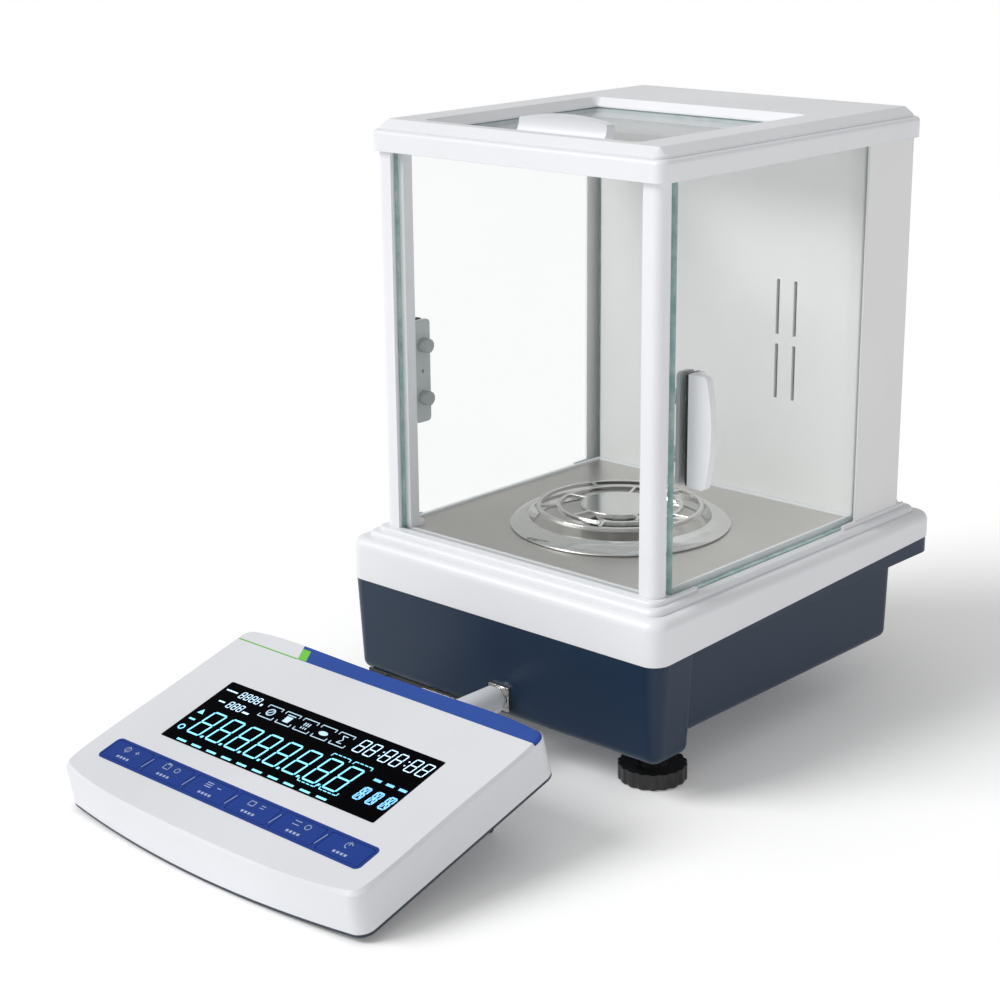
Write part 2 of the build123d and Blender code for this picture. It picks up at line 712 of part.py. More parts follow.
def console_outline(w, inset):
    """Outline of the console at height w: straight rear and sides, bowed front."""
    share = w / CONSOLE_T
    half = 105.6 - 0.2 * share - inset
    rear = 129.6 + 0.3 * share - inset
    front_side = -2.3 + 2.3 * share + inset
    front_mid = -10.6 + 3.0 * share + inset
    with BuildSketch(on_console(w)) as outline:
        with BuildLine():
            Polyline((half, front_side), (half, rear), (-half, rear), (-half, front_side))
            ThreePointArc((-half, front_side), (0, front_mid), (half, front_side))
        make_face()
        fillet(outline.vertices(), radius=8 - inset * 0.8)
    return outline.sketch


def console_body(low, high, inset=0.0, mode=Mode.ADD):
    """Part of the console's body between two heights."""
    loft([console_outline(low, inset), console_outline(high, inset)], ruled=True, mode=mode)


def on_face(u, v, w, corner=0.0, mode=Mode.ADD):
    """Plate on the console between two heights."""
    plate(on_console(w[0]), u, v, w[1] - w[0], corner, mode)


STRIP_V = 119.4
STRIP_LOW = 22.6
WINDOW_LOW = 22.6
EDGE = 0.8
CONSOLE_EDGE = 1.9
FOIL_LOW = 23.3
KEY_SIZE = (27.6, 12.2)
KEY_GAP = 0.25
KEY_TOP = 24.25
PIN_UV = ((-96, 34), (-96, 114), (96, 34), (96, 114))
key_pitch = (KEYPAD_U[1] - KEYPAD_U[0]) / KEY_COUNT
key_v = sum(KEYPAD_V) / 2
key_places = [KEYPAD_U[0] + key_pitch * (index + 0.5) for index in range(KEY_COUNT)]


def strip_shape():
    """Blue band along the rear edge, with a slanted left end."""
    Polygon((-57, STRIP_V), (120, STRIP_V), (120, 140), (-68, 140), align=None)


def key_hole(u, low, high, mode=Mode.SUBTRACT, gap=KEY_GAP):
    """Rounded rectangle round one key."""
    half_u = KEY_SIZE[0] / 2 + gap
    half_v = KEY_SIZE[1] / 2 + gap
    on_face((u - half_u, u + half_u), (key_v - half_v, key_v + half_v), (low, high), 1.2, mode)


with BuildPart() as console_cover:
    console_body(SHELL_SPLIT, CONSOLE_T)
    chamfer(console_cover.edges().group_by(console_up)[-1], length=CONSOLE_EDGE)
    console_body(SHELL_SPLIT - 0.5, CONSOLE_T - CONSOLE_WALL, CONSOLE_WALL, Mode.SUBTRACT)
    for u, v in PIN_UV:
        rod(on_console(8), u, v, 15, 3.4)
        rod(on_console(7), u, v, 9, 1.75, Mode.SUBTRACT)
    # window seat with a through opening, keypad seat, wells under the keys
    on_face(WINDOW_U, WINDOW_V, (WINDOW_LOW, 25), 1, Mode.SUBTRACT)
    on_face((-70, 71), (44, 86), (20, 25), 1, Mode.SUBTRACT)
    on_face(KEYPAD_U, KEYPAD_V, (FOIL_LOW, 25), 3, Mode.SUBTRACT)
    for u in key_places:
        key_hole(u, 22.3, 25)
        rod(on_console(20), u, key_v, 5, 2.5, Mode.SUBTRACT)
    with BuildSketch(on_console(STRIP_LOW)):
        strip_shape()
    extrude(amount=5, mode=Mode.SUBTRACT)
save(console_cover, "console_cover")

with BuildPart() as accent_strip:
    console_body(SHELL_SPLIT, CONSOLE_T)
    chamfer(accent_strip.edges().group_by(console_up)[-1], length=CONSOLE_EDGE)
    with BuildSketch(on_console(STRIP_LOW)):
        strip_shape()
    extrude(amount=5, mode=Mode.INTERSECT)
save(accent_strip, "accent_strip")

with BuildPart() as console_bottom:
    loft([console_outline(0, EDGE), console_outline(EDGE, 0)], ruled=True)
    console_body(EDGE, SHELL_SPLIT)
    console_body(SHELL_SPLIT, 6, CONSOLE_WALL + 0.2)
    console_body(SHELL_SPLIT, 7, CONSOLE_WALL + 1.8, Mode.SUBTRACT)
    for u, v in PIN_UV:
        rod(on_console(SHELL_SPLIT), u, v, 8 - SHELL_SPLIT, 3.4)
        rod(on_console(-1), u, v, 2.2, 3.0, Mode.SUBTRACT)
        rod(on_console(-1), u, v, 12, 1.75, Mode.SUBTRACT)
    # four posts that carry the circuit board
    for u, v in BOARD_UV:
        rod(on_console(SHELL_SPLIT), u, v, BOARD_W - SHELL_SPLIT, 3)
    # ears that hold the legs' pins
    for u in LEG_U:
        for side in (-1, 1):
            with BuildSketch(leg_plane(u + side * LEG_EAR)) as ear:
                with Locations((0, 0)):
                    Circle(4.2)
                with Locations((0, 3.2)):
                    Rectangle(8.4, 6.4)
                Circle(LEG_PIN + 0.08, mode=Mode.SUBTRACT)
            extrude(ear.sketch, amount=1.4, both=True)
save(console_bottom, "console_bottom")

with BuildPart() as cable_gland:
    # low housing under the rear edge; the cord enters its front face
    on_face((GLAND_U - 7, GLAND_U + 7), (GLAND_V, GLAND_V + 8), (GLAND_W - 4.5, 0), 1.5)
    fillet(cable_gland.edges().group_by(console_up)[0], radius=1.2)
save(cable_gland, "cable_gland")

with BuildPart() as console_board:
    on_face((-90, 90), (12, 112), (BOARD_W, BOARD_W + 1.6))
    for u in key_places:
        on_face((u - 3, u + 3), (key_v - 3, key_v + 3), (BOARD_W + 1, 16.2))
        rod(on_console(16), u, key_v, 0.6, 1.6)
    on_face((-60, -20), (92, 108), (BOARD_W + 1, 13.5))
    on_face((20, 50), (94, 106), (BOARD_W + 1, 15))
save(console_board, "console_board")

with BuildPart() as lcd_module:
    on_face((-69, 70), (45, 85), (14.0, 22.3))
    on_face((-74, 75), (42, 88), (14.0, 16.0))
save(lcd_module, "lcd_module")

with BuildPart() as display_window:
    on_face(WINDOW_U, WINDOW_V, (WINDOW_LOW, 24.1), 1)
save(display_window, "display_window")

with BuildPart() as keypad_foil:
    on_face(KEYPAD_U, KEYPAD_V, (FOIL_LOW, 24.2), 3)
    for u in key_places:
        key_hole(u, FOIL_LOW - 1, 25)
save(keypad_foil, "keypad_foil")

for index, u in enumerate(key_places, start=1):
    with BuildPart() as key:
        key_hole(u, 22.9, KEY_TOP, Mode.ADD, gap=0)
        fillet(key.edges().group_by(console_up)[-1], radius=0.2)
        rod(on_console(17.2), u, key_v, 6, 2.1)
    save(key, f"key_{index}")

with BuildPart() as console_pads:
    for u in (-80, 80):
        post(CONSOLE_X + u, CONSOLE_Y + 12.5, (0, 12), 7)
    split(bisect_by=on_console(0), keep=Keep.BOTTOM)
save(console_pads, "console_pads")

with BuildPart() as console_screws:
    for u, v in PIN_UV:
        rod(on_console(0.2), u, v, 1.0, 2.8)
        rod(on_console(1.0), u, v, 13, 1.6)
save(console_screws, "console_screws")


def console_leg(u):
    """Folding leg: a barrel on a pin, and a blade that stands on the floor."""
    drop = leg_plane(u).origin.Z
    with BuildSketch(leg_plane(u)) as blade:
        with Locations((0, -drop / 2 + 1)):
            Rectangle(4, drop - 2)
        with Locations((0, 2 - drop)):
            Circle(2)
        Circle(3.5)
    extrude(blade.sketch, amount=LEG_HALF, both=True)
    with BuildSketch(leg_plane(u)) as pin:
        Circle(LEG_PIN)
    extrude(pin.sketch, amount=LEG_EAR + 1, both=True)


with BuildPart() as left_leg:
    console_leg(LEG_U[0])
save(left_leg, "left_leg")

with BuildPart() as right_leg:
    console_leg(LEG_U[1])
save(right_leg, "right_leg")

# ---- display cord: plug, lead on the floor, coil under the console, tail --------------
with BuildPart() as cable_plug:
    rod(facing_front(-115.5), SOCKET_X, SOCKET_Z, 8.5, 4.5)
    rod(facing_front(-123.7), SOCKET_X, SOCKET_Z, 4.2, 5.7)
    rod(facing_front(-127.5), SOCKET_X, SOCKET_Z, 28.0, 7.4)
    fillet(cable_plug.edges().group_by(Axis.Y)[0], radius=2)
    with BuildSketch(facing_front(-155.0)) as relief:
        with Locations((SOCKET_X, SOCKET_Z)):
            Circle(4.4)
    extrude(relief.sketch, amount=8.0, taper=6)
save(cable_plug, "cable_plug")


def cord_tube(route, name):
    """Round tube along a route of straight runs joined by the widest tangent arcs."""
    points = [Vector(BASE_X + x, BASE_Y + y, z) for x, y, z in route]
    runs = [after - before for before, after in zip(points, points[1:])]
    radii = [
        0.45 * min(one.length, two.length) / tan(radians(one.get_angle(two)) / 2)
        for one, two in zip(runs, runs[1:])
    ]
    with BuildLine() as line:
        FilletPolyline(*points, radius=radii)
    path = line.wires()[0]
    with BuildSketch(Plane(origin=path @ 0, z_dir=path % 0)) as section:
        Circle(CORD_D / 2)
    sweep(section.sketch, path=path)
    expected = pi * (CORD_D / 2) ** 2 * path.length
    print(name, "radii", [round(radius, 1) for radius in radii], "length", round(path.length, 1))
    return expected


for route, name in ((LEAD_ROUTE, "cable_lead"), (TAIL_ROUTE, "cable_tail")):
    with BuildPart() as tube:
        expected = cord_tube(route, name)
    print(name, "volume", round(tube.part.volume), "expected", round(expected))
    save(tube, name)

with BuildPart() as cable_coil:
    post(*COIL_AT, (0, 2 * CORD_D), COIL_R + 1.5 * CORD_D)
    post(*COIL_AT, (-1, 2 * CORD_D + 1), COIL_R - 1.5 * CORD_D, Mode.SUBTRACT)
    fillet(cable_coil.edges(), radius=CORD_D * 0.4)
print("coil holds", round(2 * pi * COIL_R * COIL_TURNS), "mm of cord")
save(cable_coil, "cable_coil")
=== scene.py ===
import json
import math

import bmesh
import bpy
from mathutils import Matrix, Vector


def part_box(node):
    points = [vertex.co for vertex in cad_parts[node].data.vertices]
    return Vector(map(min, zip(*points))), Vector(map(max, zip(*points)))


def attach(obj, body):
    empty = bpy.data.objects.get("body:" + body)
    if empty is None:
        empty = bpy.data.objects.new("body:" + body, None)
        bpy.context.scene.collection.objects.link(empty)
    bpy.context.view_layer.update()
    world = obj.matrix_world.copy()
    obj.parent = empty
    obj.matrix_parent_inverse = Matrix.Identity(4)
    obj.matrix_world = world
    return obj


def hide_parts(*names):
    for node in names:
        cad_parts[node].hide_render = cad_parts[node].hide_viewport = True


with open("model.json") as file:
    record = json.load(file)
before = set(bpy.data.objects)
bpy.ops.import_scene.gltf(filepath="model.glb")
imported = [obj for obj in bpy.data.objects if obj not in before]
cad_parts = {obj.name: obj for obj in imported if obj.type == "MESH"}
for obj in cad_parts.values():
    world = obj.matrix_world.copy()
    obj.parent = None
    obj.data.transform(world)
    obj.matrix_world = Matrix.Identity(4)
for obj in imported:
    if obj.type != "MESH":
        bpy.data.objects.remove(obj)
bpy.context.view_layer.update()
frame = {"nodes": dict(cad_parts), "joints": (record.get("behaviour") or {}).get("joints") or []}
nodes_3d = frame["nodes"]
MM = 0.001

# ---- places in the part -------------------------------------------------------------
cover_low, cover_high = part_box("base_cover")
BASE = Vector(((cover_low.x + cover_high.x) / 2, (cover_low.y + cover_high.y) / 2, 0))
key_press = next(j for j in frame["joints"] if j["name"] == "key_1_press")
OUT = -Vector(key_press["axis"]).normalized()  # out of the console's face
UP_SLOPE = Vector((0, OUT.z, -OUT.y))  # along the face, towards the rear
window_low, window_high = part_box("display_window")
WINDOW_MID = (window_low + window_high) / 2
WINDOW_SIZE = (150.6, 49.2, 1.5)  # mm, across, up the slope and thick


def on_window(u, v, w=0.0):
    """Point on the display's top surface: mm from the window's middle, in metres."""
    half_thick = WINDOW_SIZE[2] / 2
    return WINDOW_MID + Vector((u * MM, 0, 0)) + UP_SLOPE * (v * MM) + OUT * ((half_thick + w) * MM)


# ---- materials ----------------------------------------------------------------------


def blank(name):
    """Node material with an output and nothing else."""
    material = bpy.data.materials.new(name)
    material.use_nodes = True
    tree = material.node_tree
    tree.nodes.clear()
    out = tree.nodes.new("ShaderNodeOutputMaterial")
    return material, tree, out


def add_node(tree, kind, **values):
    """New node with its sockets set by name."""
    node = tree.nodes.new(kind)
    for key, value in values.items():
        node.inputs[key.replace("_", " ")].default_value = value
    return node


def coordinates(tree, stretch=(1, 1, 1)):
    """Object coordinates, in metres, scaled along each axis."""
    source = tree.nodes.new("ShaderNodeTexCoord")
    mapping = tree.nodes.new("ShaderNodeMapping")
    mapping.inputs["Scale"].default_value = stretch
    tree.links.new(source.outputs["Object"], mapping.inputs["Vector"])
    return mapping.outputs["Vector"]


NOISE_LOW, NOISE_HIGH = 0.3, 0.7  # nearly all of a noise's values lie between these


def noise(tree, vector, scale, detail=3.0, rough=0.55):
    """Noise texture's value; a larger scale gives finer grain."""
    texture = add_node(tree, "ShaderNodeTexNoise", Scale=scale, Detail=detail, Roughness=rough)
    tree.links.new(vector, texture.inputs["Vector"])
    return texture.outputs["Fac"]


def remap(tree, value, low, high):
    """Noise turned into values from low to high."""
    node = tree.nodes.new("ShaderNodeMapRange")
    node.inputs["From Min"].default_value = NOISE_LOW
    node.inputs["From Max"].default_value = NOISE_HIGH
    node.inputs["To Min"].default_value = low
    node.inputs["To Max"].default_value = high
    tree.links.new(value, node.inputs["Value"])
    return node.outputs["Result"]


def tinted(tree, value, dark, light):
    """Colour that runs from dark to light with a noise."""
    ramp = tree.nodes.new("ShaderNodeValToRGB")
    ramp.color_ramp.elements[0].position = NOISE_LOW
    ramp.color_ramp.elements[0].color = (*dark, 1)
    ramp.color_ramp.elements[1].position = NOISE_HIGH
    ramp.color_ramp.elements[1].color = (*light, 1)
    tree.links.new(value, ramp.inputs["Fac"])
    return ramp.outputs["Color"]


def bumped(tree, height, distance, strength=1.0, edge=0.0):
    """Normal with a small relief, on edges rounded by `edge` metres."""
    bump = add_node(tree, "ShaderNodeBump", Strength=strength, Distance=distance)
    tree.links.new(height, bump.inputs["Height"])
    if edge:
        rounded = add_node(tree, "ShaderNodeBevel", Radius=edge)
        rounded.samples = 4
        tree.links.new(rounded.outputs["Normal"], bump.inputs["Normal"])
    return bump.outputs["Normal"]


def moulded(name, color, rough, grain=0.00002, edge=0.0004, spread=0.03, **extra):
    """Moulded plastic: faint colour and gloss variation and a fine grain."""
    material, tree, out = blank(name)
    shader = add_node(tree, "ShaderNodeBsdfPrincipled", **extra)
    place = coordinates(tree)
    cloud = noise(tree, place, 9.0, 4.0)
    fine = noise(tree, place, 2600.0, 2.0)
    dark = tuple(c * (1 - spread) for c in color)
    light = tuple(min(c * (1 + spread), 1) for c in color)
    tree.links.new(tinted(tree, cloud, dark, light), shader.inputs["Base Color"])
    tree.links.new(remap(tree, cloud, rough - 0.03, rough + 0.04), shader.inputs["Roughness"])
    tree.links.new(bumped(tree, fine, grain, 0.5, edge), shader.inputs["Normal"])
    tree.links.new(shader.outputs["BSDF"], out.inputs["Surface"])
    return material


def brushed(name, color, rough, stretch, depth=0.00003, edge=0.0003, anisotropic=0.5):
    """Metal with fine lines along one axis."""
    material, tree, out = blank(name)
    shader = add_node(tree, "ShaderNodeBsdfPrincipled", Metallic=1.0, Anisotropic=anisotropic)
    lines = noise(tree, coordinates(tree, stretch), 60.0, 5.0, 0.7)
    cloud = noise(tree, coordinates(tree), 14.0, 3.0)
    dark = tuple(c * 0.94 for c in color)
    light = tuple(min(c * 1.05, 1) for c in color)
    tree.links.new(tinted(tree, lines, dark, light), shader.inputs["Base Color"])
    tree.links.new(remap(tree, cloud, rough - 0.04, rough + 0.05), shader.inputs["Roughness"])
    tree.links.new(bumped(tree, lines, depth, 0.4, edge), shader.inputs["Normal"])
    tree.links.new(shader.outputs["BSDF"], out.inputs["Surface"])
    return material


FACE_SHARE = 0.9  # a normal with more of the pane's axis than this is on a face
GRAZING_POWER = 4.5
MIRROR_SHARE = (0.015, 0.9)  # straight through the pane and along it
EDGE_DARK = (0.24, 0.42, 0.40)
EDGE_LIGHT = (0.5, 0.66, 0.64)


def pane(name, axis, clear=(0.988, 0.994, 0.991), gloss=0.9):
    """Float glass: clear through its faces, green at its polished edges."""
    material, tree, out = blank(name)
    geometry = tree.nodes.new("ShaderNodeNewGeometry")
    split = tree.nodes.new("ShaderNodeSeparateXYZ")
    tree.links.new(geometry.outputs["True Normal"], split.inputs["Vector"])
    side = tree.nodes.new("ShaderNodeMath")
    side.operation = "ABSOLUTE"
    tree.links.new(split.outputs[axis], side.inputs[0])
    is_face = tree.nodes.new("ShaderNodeMath")
    is_face.operation = "GREATER_THAN"
    is_face.inputs[1].default_value = FACE_SHARE
    tree.links.new(side.outputs["Value"], is_face.inputs[0])

    through = add_node(tree, "ShaderNodeBsdfTransparent", Color=(*clear, 1))
    mirror = add_node(tree, "ShaderNodeBsdfGlossy", Color=(gloss, gloss, gloss, 1))
    smears = noise(tree, coordinates(tree), 30.0, 2.0)
    tree.links.new(remap(tree, smears, 0.01, 0.05), mirror.inputs["Roughness"])
    grazing = add_node(tree, "ShaderNodeLayerWeight", Blend=0.5)
    steep = tree.nodes.new("ShaderNodeMath")
    steep.operation = "POWER"
    steep.inputs[1].default_value = GRAZING_POWER
    tree.links.new(grazing.outputs["Facing"], steep.inputs[0])
    share = tree.nodes.new("ShaderNodeMapRange")
    share.inputs["To Min"].default_value = MIRROR_SHARE[0]
    share.inputs["To Max"].default_value = MIRROR_SHARE[1]
    tree.links.new(steep.outputs["Value"], share.inputs["Value"])
    face = tree.nodes.new("ShaderNodeMixShader")
    tree.links.new(share.outputs["Result"], face.inputs["Fac"])
    tree.links.new(through.outputs["BSDF"], face.inputs[1])
    tree.links.new(mirror.outputs["BSDF"], face.inputs[2])

    edge = add_node(tree, "ShaderNodeBsdfPrincipled", Roughness=0.22, IOR=1.5, Coat_Weight=0.4)
    streaks = noise(tree, coordinates(tree), 120.0, 3.0)
    edge_color = tinted(tree, streaks, EDGE_DARK, EDGE_LIGHT)
    tree.links.new(edge_color, edge.inputs["Base Color"])
    whole = tree.nodes.new("ShaderNodeMixShader")
    tree.links.new(is_face.outputs["Value"], whole.inputs["Fac"])
    tree.links.new(edge.outputs["BSDF"], whole.inputs[1])
    tree.links.new(face.outputs["Shader"], whole.inputs[2])
    tree.links.new(whole.outputs["Shader"], out.inputs["Surface"])
    return material


def lit(name, color, strength):
    """Segment of the display that glows."""
    material, tree, out = blank(name)
    glow = add_node(
        tree,
        "ShaderNodeBsdfPrincipled",
        Base_Color=(*color, 1),
        Roughness=0.4,
        Emission_Color=(*color, 1),
        Emission_Strength=strength,
    )
    tree.links.new(glow.outputs["BSDF"], out.inputs["Surface"])
    return material


WHITE = (0.80, 0.81, 0.835)
paint = {
    "white": moulded("white_plastic", WHITE, 0.34, Coat_Weight=0.15, Coat_Roughness=0.2),
    "console_white": moulded("console_plastic", (0.72, 0.735, 0.765), 0.42, grain=0.00004),
    "white_metal": moulded("powder_coat", (0.80, 0.80, 0.80), 0.38, grain=0.00003),
    "navy": moulded("navy_plastic", (0.0095, 0.026, 0.058), 0.32, Specular_IOR_Level=0.3),
    "navy_shell": moulded("navy_shell", (0.012, 0.022, 0.045), 0.35),
    "black": moulded("black_plastic", (0.018, 0.018, 0.019), 0.42, grain=0.00004),
    "foot": moulded("foot_plastic", (0.014, 0.014, 0.015), 0.27, edge=0.0006),
    "rubber": moulded("black_rubber", (0.02, 0.02, 0.02), 0.75, grain=0.00006),
    "floor_steel": brushed("floor_steel", (0.62, 0.6, 0.58), 0.36, (0.35, 30, 30)),
    "bracket_steel": brushed("bracket_steel", (0.55, 0.55, 0.55), 0.34, (1, 30, 30)),
    "polished": brushed("polished_steel", (0.74, 0.74, 0.73), 0.13, (4, 4, 30), 0.00001, 0.0003, 0.0),
    "nickel": brushed("nickel", (0.7, 0.69, 0.66), 0.2, (8, 8, 8), 0.00001, 0.0004, 0.0),
    "aluminium": brushed("aluminium", (0.7, 0.71, 0.72), 0.38, (6, 40, 40)),
    "board": moulded("circuit_board", (0.02, 0.12, 0.05), 0.35),
    "grip_plate": moulded("grip_plate", (0.50, 0.53, 0.54), 0.35),
    "clear": moulded("clear_plastic", (0.55, 0.6, 0.61), 0.15, Transmission_Weight=0.35),
    "strip": moulded("blue_strip", (0.03, 0.08, 0.34), 0.3, spread=0.06, Specular_IOR_Level=0.08),
    "foil": moulded(
        "blue_foil", (0.017, 0.05, 0.26), 0.42, grain=0.00003, edge=0.0001, Specular_IOR_Level=0.08
    ),
    "window": moulded(
        "window_black", (0.0008, 0.0009, 0.0016), 0.12, 0.000002, 0.0002, Specular_IOR_Level=0.012
    ),
    "cord": moulded("cord_plastic", (0.66, 0.67, 0.69), 0.45),
    "plug": moulded("plug_plastic", (0.72, 0.74, 0.77), 0.36),
}
panes = {
    "left_door_glass": pane("door_pane", "X"),
    "front_glass": pane("front_pane", "Y"),
    "hatch_glass": pane("hatch_pane", "Z"),
}
panes["right_door_glass"] = panes["left_door_glass"]

looks = {
    "white": ["base_cover", "post_right", "post_left", "top_frame", "top_cover", "hatch_handle",
              "left_handle", "right_handle"],
    "console_white": ["console_cover", "cable_gland"],
    "white_metal": ["column_core", "left_column_panel", "right_column_panel"],
    "navy": ["base_tub"],
    "navy_shell": ["console_bottom"],
    "black": ["left_gasket", "right_gasket", "connector_bracket", "lcd_module"],
    "foot": ["foot_left", "foot_right"],
    "rubber": ["rear_foot", "console_pads", "left_leg", "right_leg"],
    "floor_steel": ["floor_plate"],
    "bracket_steel": ["power_jack", "console_screws", "cell_lever"],
    "polished": ["weigh_pan", "draft_ring", "pan_support"],
    "nickel": ["display_socket", "serial_port", "cell_magnet"],
    "aluminium": ["chassis_plate", "cell_frame"],
    "board": ["main_board", "console_board"],
    "grip_plate": ["left_plate", "right_plate"],
    "clear": ["left_thumb_screws", "right_thumb_screws"],
    "strip": ["accent_strip"],
    "foil": ["keypad_foil"] + [f"key_{index}" for index in range(1, 7)],
    "window": ["display_window"],
    "plug": ["cable_plug"],
}


def dress(node, material):
    """Gives a CAD node one material."""
    mesh = nodes_3d[node].data
    mesh.materials.clear()
    mesh.materials.append(material)


for look, members in looks.items():
    for member in members:
        dress(member, paint[look])
for member, material in panes.items():
    dress(member, material)

# ---- display segments ---------------------------------------------------------------
# All display sizes are in mm on the window, from its middle.
GLOW_LIFT = 0.03
GLOW_THICK = 0.06
SLANT = 0.115  # lean of the digits, sideways per mm of height


def flat_piece(name, shapes, place, material, body):
    """Thin raised shapes, each a list of flat points, as one mesh on a body."""
    mesh = bmesh.new()
    for shape in shapes:
        low = [mesh.verts.new(place(x, y, GLOW_LIFT)) for x, y in shape]
        high = [mesh.verts.new(place(x, y, GLOW_LIFT + GLOW_THICK)) for x, y in shape]
        mesh.faces.new(list(reversed(low)))
        mesh.faces.new(high)
        for index in range(len(shape)):
            after = (index + 1) % len(shape)
            mesh.faces.new((low[index], low[after], high[after], high[index]))
    bmesh.ops.recalc_face_normals(mesh, faces=mesh.faces)
    data = bpy.data.meshes.new(name)
    mesh.to_mesh(data)
    mesh.free()
    piece = bpy.data.objects.new(name, data)
    bpy.context.scene.collection.objects.link(piece)
    piece.data.materials.append(material)
    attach(piece, body)
    return piece


def bar(x0, y0, x1, y1, wide, pointed=False):
    """Stroke from one point to another."""
    along = Vector((x1 - x0, y1 - y0)).normalized()
    side = Vector((-along.y, along.x)) * wide / 2
    tip = along * wide / 2
    a, b = Vector((x0, y0)), Vector((x1, y1))
    if pointed:
        points = [a, a + tip + side, b - tip + side, b, b - tip - side, a + tip - side]
    else:
        points = [a + side, b + side, b - side, a - side]
    return [(p.x, p.y) for p in reversed(points)]


def ring(x, y, radius, wide, parts=20):
    """Ring as short strokes."""
    turn = [2 * math.pi * k / parts for k in range(parts + 1)]
    spots = [(x + radius * math.cos(t), y + radius * math.sin(t)) for t in turn]
    return [bar(*before, *after, wide) for before, after in zip(spots, spots[1:])]


def seven(x, y, wide, tall, stroke):
    """Seven segments of a digit; x, y is its lower left corner."""
    gap = stroke * 0.12
    left, right = stroke / 2, wide - stroke / 2
    rows = (stroke / 2, tall / 2, tall - stroke / 2)
    lines = [((left, row), (right, row)) for row in rows]
    for column in (left, right):
        for low, high in zip(rows, rows[1:]):
            lines.append(((column, low), (column, high)))
    segments = []
    for (ax, ay), (bx, by) in lines:
        shift = Vector((bx - ax, by - ay)).normalized() * gap
        ax, ay, bx, by = ax + shift.x, ay + shift.y, bx - shift.x, by - shift.y
        start = (x + ax + ay * SLANT, y + ay)
        end = (x + bx + by * SLANT, y + by)
        segments.append(bar(*start, *end, stroke, pointed=True))
    return segments


def square(x, y, size):
    """Leaning square, its lower left corner at x, y."""
    return [(x, y), (x + size, y), (x + size + SLANT * size, y + size), (x + SLANT * size, y + size)]


cyan = lit("glow_cyan", (0.22, 0.70, 0.92), 0.9)
pale = lit("glow_pale", (0.55, 0.78, 0.95), 0.8)
faint = lit("glow_faint", (0.42, 0.6, 0.72), 0.55)
blue = lit("glow_blue", (0.2, 0.52, 0.95), 0.8)

DIGITS = 8
DIGIT_LEFT = -65.1
DIGIT_PITCH = 13.95
DIGIT_FOOT = -17.0
DIGIT_SHAPE = (9.6, 19.0, 1.05)  # width, height and stroke
LAST_TWO_SHIFT = 0.35
POINT_SHIFT = 11.0
POINT_SIZE = 1.5
DASHES = 10
DASH_LEFT = -64.4
DASH_PITCH = 11.17
DASH_Y = -22.9
DASH_LONG = 6.6
DASH_WIDE = 1.25
large = []
for index in range(DIGITS):
    left = DIGIT_LEFT + DIGIT_PITCH * index + (LAST_TWO_SHIFT if index >= DIGITS - 2 else 0)
    large += seven(left, DIGIT_FOOT, *DIGIT_SHAPE)
    if index < DIGITS - 1:
        large.append(square(left + POINT_SHIFT, DIGIT_FOOT, POINT_SIZE))
for index in range(DASHES):
    start = DASH_LEFT + DASH_PITCH * index
    large.append(bar(start, DASH_Y, start + DASH_LONG, DASH_Y, DASH_WIDE))
flat_piece("display_digits", large, on_window, cyan, "balance")

CLOCK_LEFTS = (25.6, 32.8, 42.8, 50.1, 60.0, 67.3)
CLOCK_FOOT = 10.4
CLOCK_SHAPE = (5.2, 9.8, 0.62)
COLON_LEFTS = (41.3, 58.2)
SMALL_LEFT = -62.2
SMALL_PITCH = 3.9
SMALL_SHAPE = (2.9, 5.2, 0.5)
SMALL_ROWS = ((4, 15.7), (3, 6.9))  # digits in the row and its foot
clock = []
for left in CLOCK_LEFTS:
    clock += seven(left, CLOCK_FOOT, *CLOCK_SHAPE)
for x in COLON_LEFTS:
    clock += [square(x, 13.2, 0.8), square(x + 0.3, 16.4, 0.8)]
for count, foot in SMALL_ROWS:
    for index in range(count):
        clock += seven(SMALL_LEFT + SMALL_PITCH * index, foot, *SMALL_SHAPE)
clock += [bar(-72.6, 18.3, -64.6, 18.3, 0.9), bar(-69.0, 9.5, -64.6, 9.5, 0.9)]
clock += [bar(-45.6, 16.7, -44.3, 16.7, 1.6), bar(-49.6, 8.0, -45.2, 8.0, 1.2)]
flat_piece("display_clock", clock, on_window, pale, "balance")

# five icons between corner marks: slashed ring, vessel, short strokes, oval and sum sign
ICON_LEFTS = (-40.3, -27.5, -14.7, -1.9, 10.8)
ICON_WIDE = 9.9
icons = []
for left in ICON_LEFTS:
    right = left + ICON_WIDE
    for outer, inner in ((19.2, 17.2), (9.8, 11.8)):
        icons.append(bar(left, outer, right, outer, 0.5))
        icons.append(bar(left, inner, left, outer, 0.5))
        icons.append(bar(right, inner, right, outer, 0.5))
mid = [left + ICON_WIDE / 2 for left in ICON_LEFTS]
icons += ring(mid[0], 14.5, 2.3, 0.7)
icons += [bar(mid[0] - 1.2, 13.3, mid[0] + 1.2, 15.7, 0.6)]
icons.append([(mid[1] - 1.9, 11.8), (mid[1] + 1.9, 11.8), (mid[1] + 2.2, 16.2), (mid[1] - 2.2, 16.2)])
icons.append(bar(mid[1] - 2.7, 17.2, mid[1] + 2.9, 17.2, 0.6))
for column in (-1.6, 0, 1.6):
    icons += [bar(mid[2] + column, 11.9, mid[2] + column, 13.2, 0.7)]
    icons += [bar(mid[2] + column, 14.2, mid[2] + column, 16.6, 0.7)]
icons.append([
    (mid[3] + 3.0 * math.cos(t * math.pi / 10), 14.0 + 1.5 * math.sin(t * math.pi / 10)) for t in range(20)
])
zigzag = [(1.6, 17.2), (-1.6, 17.2), (0.5, 14.6), (-1.6, 12.0), (1.6, 12.0)]
icons += [
    bar(mid[4] + a, b, mid[4] + c, d, 0.55) for (a, b), (c, d) in zip(zigzag, zigzag[1:])
]
flat_piece("display_icons", icons, on_window, faint, "balance")

